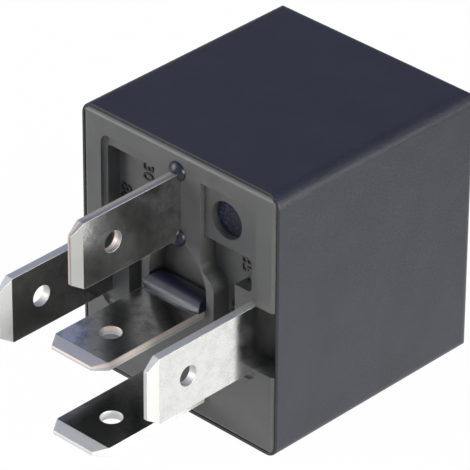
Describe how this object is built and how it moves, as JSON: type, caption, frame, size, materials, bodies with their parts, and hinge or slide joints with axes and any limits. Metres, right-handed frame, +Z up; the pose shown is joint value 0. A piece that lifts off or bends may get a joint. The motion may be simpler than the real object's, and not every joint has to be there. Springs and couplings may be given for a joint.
{
  "type": "automotive relay",
  "caption": "Plug-in change-over relay in a square moulded case, with flat blade terminals, lying on its side; inside, a coil pulls a sprung armature that carries the moving contact.",
  "frame": {"origin": "centre of the seating plane, the front of the base's rim", "axes": "-Y is the way the blades point, +Y runs into the case, +Z is up as the relay lies on its side, +X is towards blade 85"},
  "size_m": [0.0228, 0.0369, 0.0256],
  "materials": {
    "case_plastic": "fine-grained moulded black plastic, slightly blue",
    "base_plastic": "moulded dark grey plastic",
    "tinned_blade": "bright tin plating, lightly scuffed, bare copper at the sheared edges",
    "sealing_resin": "set blue-black epoxy resin",
    "bobbin_plastic": "moulded cream plastic",
    "copper_wire": "enamelled copper wire",
    "plated_steel": "zinc-plated soft iron",
    "spring_bronze": "rolled copper-alloy strip",
    "contact_silver": "silver alloy contact",
    "resistor_body": "lacquered resistor body"
  },
  "bodies": {
    "housing": {"cover": "case_plastic", "base": "base_plastic", "terminal_30": "tinned_blade", "terminal_85": "tinned_blade", "terminal_86": "tinned_blade", "terminal_87": "tinned_blade", "terminal_87a": "tinned_blade", "sealing_resin": "sealing_resin", "bobbin": "bobbin_plastic", "coil_winding": "copper_wire", "coil_pins": "tinned_blade", "core": "plated_steel", "yoke": "plated_steel", "yoke_rivets": "plated_steel", "open_contact": "contact_silver", "closed_contact": "contact_silver", "suppression_resistor": "resistor_body"},
    "armature_set": {"armature": "plated_steel", "armature_rivets": "plated_steel", "contact_spring": "spring_bronze", "moving_contact": "contact_silver"}
  },
  "joints": [
    {"name": "armature_pull_in", "type": "hinge", "parent": "housing", "child": "armature_set", "pos_m": [0, 0.01828, 0.0099], "axis": [1, 0, 0], "range_deg": [-3.2, 0], "stiffness_Nm_per_rad": 0.02, "springref_deg": 22.92, "deforming": ["contact_spring"]}
  ]
}
